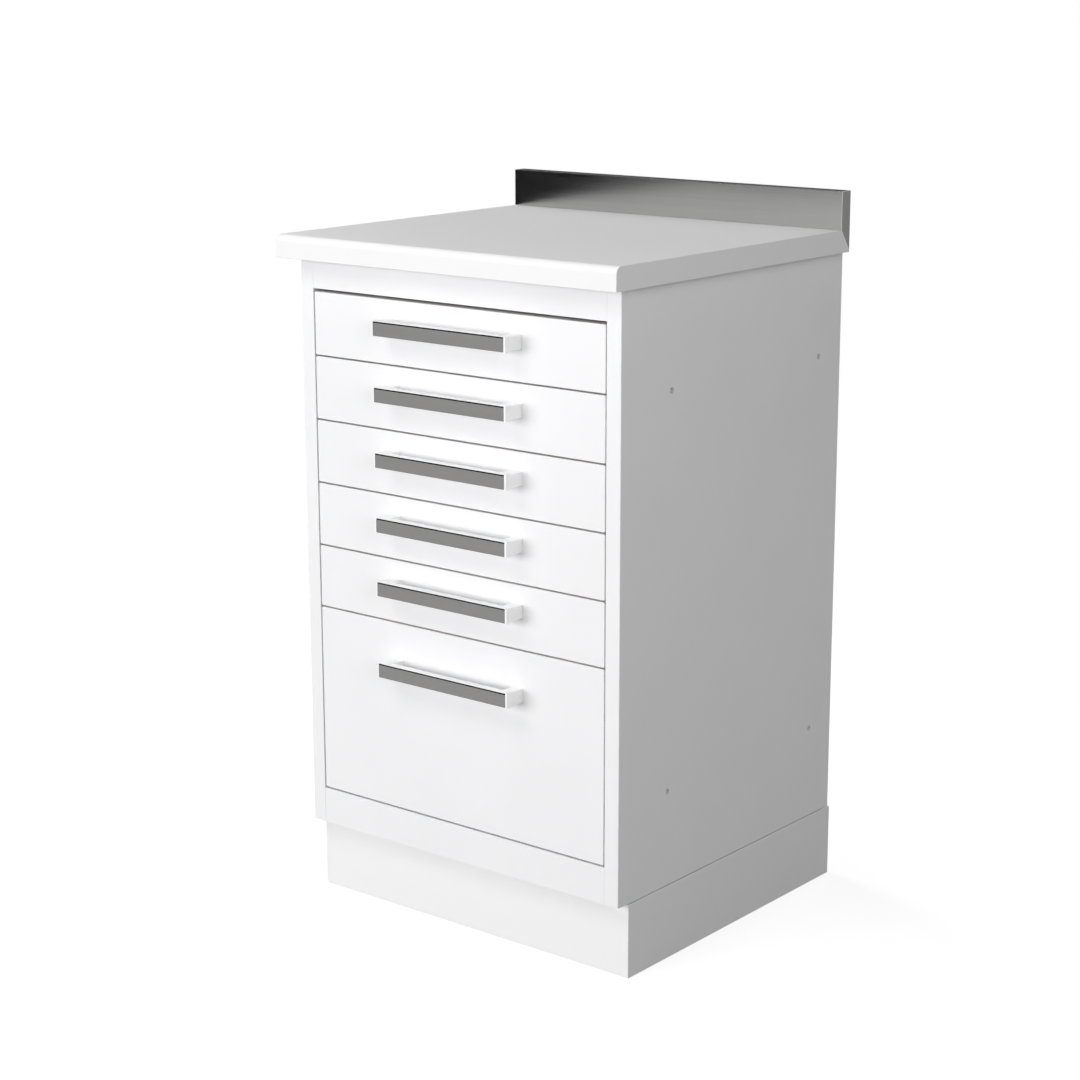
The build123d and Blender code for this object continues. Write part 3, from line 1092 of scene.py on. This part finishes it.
@dataclass
class Drawer:
    """Folded front and tray of one drawer.

    Attributes:
        number: The drawer's number from the top.
        front: Paint of the front.
        fold_gap_shade: Paint of its folds seen in the gaps, warmer and a little darker than the front: painted
            shade of the gaps.
        tray: Paint of the tray.
        edge: Radius of the sheet's cut edges.
        skin: Depth behind the face from which the folds get the painted gap shade.
        slant: Most that a face of the folds looks along the depth.
    """

    number: int
    front: Material
    fold_gap_shade: Material
    tray: Material
    edge: float = 0.3 * MM
    skin: float = 2.5 * MM
    slant: float = 0.3

    def build(self) -> None:
        """Makes the front and the tray."""
        body = f"drawer_{self.number}"
        node = f"drawer_front_{self.number}"
        face = solid_copy(node, f"face_{self.number}", [self.front, self.fold_gap_shade])
        softened(face, self.edge, 2)
        # Faces of the folds behind the skin that don't face the depth get the painted gap shade.
        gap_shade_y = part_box(node)[0][1] + self.skin
        for facet in face.data.polygons:
            facet.material_index = int(abs(facet.normal.y) < self.slant and facet.center.y > gap_shade_y)
        dress(face, body, "front_paint", node)
        node = f"tray_{self.number}"
        # The tray stays flat-shaded: smoothed, its floor came out black.
        dress(solid_copy(node, f"box_{self.number}", [self.tray]), body, "tray_paint", node)


@dataclass(frozen=True)
class Fixing:
    """One screw, or one head of a rivet.

    Attributes:
        head: Shape of its head.
        seat: The head's underside, or its flat top where it is sunk.
        aim: Direction of the shank.
        radius: Radius of the head.
        height: Height of the head.
        length: Length of the shank.
    """

    head: Head
    seat: Vector
    aim: Vector
    radius: float
    height: float
    length: float


class Hardware:
    """Screws and rivets, set out on the places of their solids."""

    shank: float = 2.0 * MM
    near: float = 0.05 * MM
    recess: float = 0.56
    arm: float = 0.13
    depth: float = 0.62
    seed: int = 11

    def __init__(self, finish: Material) -> None:
        """Makes the heads and the tree that sets them out.

        Args:
            finish: Plating of the screws and rivets.
        """
        self.finish = finish
        self.heads = {head: self.build_head(head) for head in Head}
        self.pattern = self.build_pattern()

    def profile(self, head: Head) -> list[Flat]:
        """Half section of a head of radius 1 and height 1, from its top to the shank.

        Args:
            head: The head's shape.

        Returns:
            Radius and level of each point; the shank runs up from level 0.
        """
        if head is Head.SUNK:
            return [(0.0, 0.0), (0.93, 0.0), (1.0, 0.05), (self.shank / (3.6 * MM), 1.0)]
        if head is Head.RIVET:
            arc = [math.radians(15 * step) for step in range(7)]
            return [(math.sin(angle), -math.cos(angle) ** 0.8) for angle in arc]
        arc = [math.radians(18 * step) for step in range(6)]
        dome = [(0.62 + 0.38 * math.sin(angle), -0.3 - 0.7 * math.cos(angle)) for angle in arc]
        return [(0.0, -1.0), *dome, (1.0, 0.0)]

    def build_head(self, head: Head, sides: int = 24) -> Object:
        """Turns a head on a lathe and cuts its cross recess.

        Args:
            head: The head's shape.
            sides: Facets round the head.

        Returns:
            The head, 1 in radius and 1 in height.
        """
        draft = Draft()
        rings = []
        for radius, level in self.profile(head):
            spokes = [2 * math.pi * side / sides for side in range(sides if radius > 1e-6 else 1)]
            rings.append([draft.mesh.verts.new((radius * math.cos(spoke), radius * math.sin(spoke), level))
                          for spoke in spokes])
        for before, after in zip(rings, rings[1:]):
            for side in range(sides):
                beside = (side + 1) % sides
                first = [before[side], before[beside]] if len(before) > 1 else [before[0]]
                draft.mesh.faces.new(first + [after[beside], after[side]])
        draft.mesh.faces.new(rings[-1])
        piece = draft.build("head_" + head.name.lower(), [self.finish])
        if head is not Head.RIVET:
            crown = -1.0 if head is Head.PAN else 0.0
            self.cut_recess(piece, -1.1 if head is Head.PAN else -0.1, self.depth + crown)
        return piece

    def cut_recess(self, piece: Object, top: float, foot: float) -> None:
        """Cuts a cross recess along the head's axis.

        Args:
            piece: The head.
            top: Level above the head at which the cut starts.
            foot: Level at which it ends.
        """
        arm, reach = self.arm, self.recess
        outline = [(arm, arm), (arm, reach), (-arm, reach), (-arm, arm), (-reach, arm), (-reach, -arm),
                   (-arm, -arm), (-arm, -reach), (arm, -reach), (arm, -arm), (reach, -arm), (reach, arm)]
        draft = Draft()
        draft.prism(outline, Axis.HEIGHT, top, foot)
        cutter = draft.build("recess", [self.finish])
        cut = piece.modifiers.new("recess", "BOOLEAN")
        cut.operation, cut.object, cut.solver = "DIFFERENCE", cutter, "EXACT"
        baked(piece)
        bpy.data.objects.remove(cutter)

    def build_pattern(self) -> Pattern:
        """Tree that puts a head and a shank on every point."""
        labels = {head: head.name.title() + " Head" for head in Head}
        inputs = {label: "NodeSocketObject" for label in labels.values()}
        inputs.update({"Shank Radius": "NodeSocketFloat", "Shank Sides": "NodeSocketInt",
                       "Seed": "NodeSocketInt", "Finish": "NodeSocketMaterial"})
        pattern = Pattern("fixings", inputs)
        points = pattern.given("Geometry")
        shape = pattern.attribute("head", "INT")
        size = pattern.attribute("size", "FLOAT_VECTOR")
        aimed = pattern.out("FunctionNodeAlignRotationToVector", {"axis": "Z"},
                            {"Vector": pattern.attribute("aim", "FLOAT_VECTOR")})
        angle = pattern.out("FunctionNodeRandomValue", {"data_type": "FLOAT"},
                            {"Min_001": 0.0, "Max_001": math.tau, "Seed": pattern.given("Seed")}, "Value_001")
        spin = pattern.out("FunctionNodeAxisAngleToRotation", {}, {"Axis": (0.0, 0.0, 1.0), "Angle": angle})
        turned = pattern.out("FunctionNodeRotateRotation", {"rotation_space": "LOCAL"},
                             {"Rotation": aimed, "Rotate By": spin})
        parts = []
        for head, label in labels.items():
            chosen = pattern.out("FunctionNodeCompare", {"data_type": "INT", "operation": "EQUAL"},
                                 {"A_INT": shape, "B_INT": head.value})
            model = pattern.out("GeometryNodeObjectInfo", {}, {"Object": pattern.given(label)}, "Geometry")
            parts.append(pattern.out("GeometryNodeInstanceOnPoints", {}, {
                "Points": points, "Selection": chosen, "Instance": model, "Rotation": turned, "Scale": size}))
        rod = pattern.out("GeometryNodeMeshCylinder", {}, {
            "Vertices": pattern.given("Shank Sides"), "Radius": pattern.given("Shank Radius"),
            "Depth": 1.0}, "Mesh")
        rod = pattern.out("GeometryNodeTransform", {}, {"Geometry": rod, "Translation": (0.0, 0.0, 0.5)})
        long = pattern.out("ShaderNodeCombineXYZ", {}, {
            "X": 1.0, "Y": 1.0, "Z": pattern.attribute("length", "FLOAT")})
        parts.append(pattern.out("GeometryNodeInstanceOnPoints", {}, {
            "Points": points, "Instance": rod, "Rotation": turned, "Scale": long}))
        pattern.end(parts, pattern.given("Finish"))
        return pattern

    def read(self, node: str) -> list[Fixing]:
        """Finds the screws and rivets of a node.

        Args:
            node: The solids' name.

        Returns:
            One fixing for each screw and one for each head of a rivet.
        """
        fixings = []
        for points in islands(node):
            low = Vector([min(point[axis] for point in points) for axis in range(3)])
            high = Vector([max(point[axis] for point in points) for axis in range(3)])
            span, middle = high - low, (low + high) / 2
            spans = sorted(range(3), key=lambda part: span[part])
            axis = spans[0] if span[spans[2]] - span[spans[1]] < self.near else spans[2]
            radius = span[spans[1]] / 2
            levels = sorted({round(point[axis] - low[axis], 5) for point in points})

            def wide(level: float) -> bool:
                """Whether the solid has the head's radius at a level."""
                ring = [point - middle for point in points if abs(point[axis] - low[axis] - level) < self.near]
                reach = [math.hypot(*(point[part] for part in range(3) if part != axis)) for point in ring]
                return max(reach) > 0.8 * radius

            for ends, sign in ((levels, 1.0), (levels[::-1], -1.0)):
                if not wide(ends[0]):
                    continue
                aim = Vector([sign if part == axis else 0.0 for part in range(3)])
                height = abs(ends[1] - ends[0])
                both = wide(levels[0]) and wide(levels[-1])
                head = Head.RIVET if both else Head.PAN if wide(ends[1]) else Head.SUNK
                seat = middle.copy()
                seat[axis] = low[axis] + (ends[0] if head is Head.SUNK else ends[1])
                length = span[axis] - (0.0 if head is Head.SUNK else height) - (height if both else 0.0)
                fixings.append(Fixing(head, seat, aim, radius, height, length))
        return fixings

    def build(self, node: str, name: str, body: str) -> None:
        """Makes every screw and rivet of one body.

        Args:
            node: The solids that they stand for.
            name: Name of the piece.
            body: The body that they ride on.
        """
        fixings = self.read(node)
        data = bpy.data.meshes.new(name)
        data.from_pydata([fixing.seat for fixing in fixings], [], [])
        values = {"head": ("INT", "value", [fixing.head.value for fixing in fixings]),
                  "length": ("FLOAT", "value", [fixing.length for fixing in fixings]),
                  "aim": ("FLOAT_VECTOR", "vector", [part for fixing in fixings for part in fixing.aim]),
                  "size": ("FLOAT_VECTOR", "vector", [part for fixing in fixings
                                                      for part in (fixing.radius, fixing.radius, fixing.height)])}
        for label, (kind, field_name, numbers) in values.items():
            data.attributes.new(label, kind, "POINT").data.foreach_set(field_name, numbers)
        piece = placed(name, data)
        inputs: dict[str, object] = {head.name.title() + " Head": shape for head, shape in self.heads.items()}
        inputs.update({"Shank Radius": self.shank, "Shank Sides": 12, "Seed": self.seed, "Finish": self.finish})
        self.pattern.run(piece, inputs)
        dress(smoothed(piece), body, "fastener_zinc", node)
        LOG.info("%s: %d fixings", name, len(fixings))

    def clear(self) -> None:
        """Takes the loose heads away once every screw is made."""
        for shape in self.heads.values():
            bpy.data.objects.remove(shape)
        self.heads.clear()


@dataclass
class Slides:
    """Telescopic slides of every drawer.

    Attributes:
        finish: Plating of the members.
        edge: Radius of the rolled edges.
    """

    finish: Material
    edge: float = 0.3 * MM

    def build(self) -> None:
        """Makes the members."""
        self.member("cabinet_slide_members", "slides_fixed", "body")
        for number in DRAWERS:
            self.member(f"middle_slide_members_{number}", f"slides_middle_{number}", f"middle_slides_{number}")
            self.member(f"drawer_slide_members_{number}", f"slides_drawer_{number}", f"drawer_{number}")

    def member(self, node: str, name: str, body: str) -> None:
        """Makes the members of one body.

        Args:
            node: The solids that they stand for.
            name: Name of the piece.
            body: The body that they move with.
        """
        piece = solid_copy(node, name, [self.finish])
        softened(piece, self.edge, 2)
        dress(piece, body, "slide_zinc", node)


# ---------------------------------------------------------------------------
# Studio
# ---------------------------------------------------------------------------


@dataclass(frozen=True)
class Lamp:
    """A soft rectangular lamp.

    Attributes:
        name: Name of the lamp.
        place: Where it stands.
        width: Width of its panel.
        height: Height of its panel.
        power: Power in watts.
        aim: What it points at.
    """

    name: str
    place: Point
    width: float
    height: float
    power: float
    aim: Point = (0.0, 0.0, 0.5)

    def build(self) -> None:
        """Sets the lamp up, unseen by reflections."""
        data = bpy.data.lights.new(self.name, "AREA")
        data.shape = "RECTANGLE"
        data.size, data.size_y, data.energy = self.width, self.height, self.power
        lamp = placed(self.name, data)
        point_at(lamp, self.place, self.aim, "-Z")
        lamp.visible_glossy = False
        LOG.info("%s: %.0f W", self.name, self.power)


@dataclass(frozen=True)
class Flag:
    """A black board that only reflections see.

    Attributes:
        name: Name of the board.
        place: Its middle.
        aim: What it faces.
        width: Its width.
        height: Its height.
        grey: How light it looks in a reflection.
        thick: Half its thickness.
    """

    name: str
    place: Point
    aim: Point
    width: float
    height: float
    grey: float
    thick: float = 5 * MM

    def build(self) -> None:
        """Hangs the board."""
        draft = Draft()
        half = (self.width / 2, self.height / 2, self.thick)
        draft.block(tuple(-part for part in half), half)
        shader = Shader(self.name + "_cloth")
        colour = shader.tinted((self.grey,) * 3, (self.grey * 1.2,) * 3, shader.noise(40.0))
        glow = shader.node("ShaderNodeEmission", {}, {"Color": colour, "Strength": 1.0})
        shader.node("ShaderNodeOutputMaterial", {}, {"Surface": glow.outputs[0]})
        board = draft.build(self.name, [shader.material])
        point_at(board, self.place, self.aim, "Z")
        for ray in ("camera", "diffuse", "shadow", "transmission"):
            setattr(board, "visible_" + ray, False)


@dataclass(frozen=True)
class Viewpoint:
    """Where the photograph was taken from.

    Attributes:
        place: The lens.
        azimuth: Degrees round the cabinet from its front, to the right.
        elevation: Degrees above the horizon.
        roll: Degrees that the frame is turned.
        focal: Focal length in pixels of the photograph.
        frame: Width of the photograph in pixels.
    """

    place: Point = (1.85956, -2.35604, 1.19369)
    azimuth: float = 38.9483
    elevation: float = 13.5704
    roll: float = -0.1006
    focal: float = 2402.32
    frame: float = 1080.0

    def build(self) -> None:
        """Sets the camera up."""
        turn, rise, lean = (math.radians(part) for part in (self.azimuth, self.elevation, self.roll))
        back = Vector((math.sin(turn) * math.cos(rise), -math.cos(turn) * math.cos(rise), math.sin(rise)))
        right = Vector((math.cos(turn), math.sin(turn), 0.0))
        above = back.cross(right)
        side = right * math.cos(lean) + above * math.sin(lean)
        top = above * math.cos(lean) - right * math.sin(lean)
        data = bpy.data.cameras.new("camera")
        data.sensor_width = 36.0
        data.sensor_fit = "HORIZONTAL"
        data.lens = self.focal / self.frame * data.sensor_width
        data.clip_start, data.clip_end = 0.05, 100.0
        camera = placed("camera", data)
        camera.matrix_world = Matrix((
            (side.x, top.x, back.x, self.place[0]), (side.y, top.y, back.y, self.place[1]),
            (side.z, top.z, back.z, self.place[2]), (0.0, 0.0, 0.0, 1.0)))
        bpy.context.scene.camera = camera


@dataclass
class Studio:
    """Pale floor, white surroundings, soft lamps, black flags and the camera.

    Attributes:
        ambient: Light that comes from all round.
        floor: Half the side of the floor.
        floor_colour: Colour of the floor to the eye.
        bounce: Colour of the floor to the light that it throws back.
        lift: Glow of the floor to the eye, so that it looks white where it is lit.
        near: Distance from the cabinet up to which the floor keeps its shadow.
        far: Distance from which it is as white as the surroundings.
    """

    ambient: float = 0.04
    floor: float = 30.0
    floor_colour: Colour = (0.50, 0.50, 0.50)
    bounce: Colour = (0.22, 0.22, 0.22)
    lift: float = 0.72
    near: float = 0.7
    far: float = 1.8
    lamps: tuple[Lamp, ...] = (
        Lamp("front_lamp", (-0.54, -5.76, 1.22), 2.9, 2.2, 121.0),
        Lamp("left_lamp", (-2.88, -5.04, 1.22), 2.9, 2.2, 125.5),
        Lamp("front_high_lamp", (-0.3, -1.5, 2.0), 1.2, 0.8, 9.8),
        Lamp("left_high_lamp", (-2.2, 0.3, 2.4), 1.6, 1.6, 39.5),
        Lamp("right_lamp", (2.8, -1.8, 1.4), 1.4, 1.4, 28.8),
        Lamp("right_high_lamp", (2.6, 0.2, 2.2), 1.4, 1.4, 7.0),
        Lamp("right_near_lamp", (1.4, -0.5, 1.9), 1.0, 1.0, 3.2),
        Lamp("rear_lamp", (0.3, 3.4, 0.8), 1.6, 1.2, 40.0),
    )
    flags: tuple[Flag, ...] = (
        Flag("left_flag", (-1.3, -1.35, 0.72), (0.0, 0.2, 0.89), 1.3, 1.1, 0.002),
        Flag("rear_flag", (-1.25, 1.85, 1.15), (0.0, 0.2, 0.89), 1.5, 1.0, 0.05),
        Flag("right_flag", (1.7, 2.2, 0.8), (0.26, 0.23, 0.89), 1.4, 1.4, 0.25),
        Flag("top_flag", (-1.05, -0.35, 2.05), (0.0, 0.1, 0.7), 1.7, 1.9, 0.004),
    )

    def build(self) -> None:
        """Sets everything up that isn't the cabinet."""
        self.build_world()
        self.build_floor()
        for item in (*self.lamps, *self.flags):
            item.build()
        Viewpoint().build()
        bpy.context.scene.view_settings.view_transform = "Standard"

    def build_world(self) -> None:
        """White to the eye and to reflections, an even grey for the light."""
        world = bpy.data.worlds.new("surroundings")
        world.use_nodes = True
        bpy.context.scene.world = world
        tree = Tree(world.node_tree)
        strength = to_the_eye(tree) * (1.0 - self.ambient) + self.ambient
        glow = tree.node("ShaderNodeBackground", {}, {"Color": (1.0, 1.0, 1.0, 1.0), "Strength": strength})
        tree.node("ShaderNodeOutputWorld", {}, {"Surface": glow.outputs[0]})

    def build_floor(self) -> None:
        """A wide pale floor that keeps the cabinet's shadow."""
        draft = Draft()
        half = self.floor
        signs = ((-1, -1), (1, -1), (1, 1), (-1, 1))
        draft.mesh.faces.new([draft.mesh.verts.new((half * x, half * y, 0.0)) for x, y in signs])
        shader = Shader("floor_paint")
        cloud = shader.noise(1.5, 3.0)
        colour = shader.spread(self.floor_colour, 0.99, 1.01, cloud)
        seen = to_the_eye(shader)
        reach = shader.out("ShaderNodeVectorMath", {"operation": "LENGTH"}, {0: shader.place}, "Value")
        away = reach.stepped(self.near, self.far) * seen
        matt = shader.node("ShaderNodeBsdfDiffuse", {}, {"Color": shader.mixed(
            shader.tinted(self.bounce, self.bounce, seen), colour, seen)})
        glow = shader.node("ShaderNodeEmission", {}, {"Strength": seen * self.lift})
        both = shader.node("ShaderNodeAddShader", {}, {0: matt.outputs[0], 1: glow.outputs[0]})
        white = shader.node("ShaderNodeEmission", {}, {"Strength": 1.0})
        faded = shader.node("ShaderNodeMixShader", {}, {0: away, 1: both.outputs[0], 2: white.outputs[0]})
        shader.node("ShaderNodeOutputMaterial", {}, {"Surface": faded.outputs[0]})
        floor = draft.build("floor", [shader.material])


# ---------------------------------------------------------------------------


def main() -> None:
    """Builds the cabinet and the studio round it."""
    logging.basicConfig(level=logging.INFO, format="%(message)s")
    FRAME.update(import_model())
    finishes = Finishes()
    hardware = Hardware(finishes.fastener)
    SteelBody(finishes.body).build()
    Sleeves(finishes.body).build()
    Worktop(finishes.worktop).build()
    Upstand(finishes.upstand).build()
    Plinth(finishes.plinth, finishes.spacer).build()
    for number in DRAWERS:
        Drawer(number, finishes.front, finishes.fold_gap_shade, finishes.tray).build()
        Handle(number, finishes.handle, finishes.strip, finishes.painted_bevel_reflection).build()
        hardware.build(f"drawer_fasteners_{number}", f"fixings_{number}", f"drawer_{number}")
    Slides(finishes.slide).build()
    hardware.build("body_fasteners", "fixings_body", "body")
    hardware.clear()
    Studio().build()


if __name__ == "__main__":
    main()
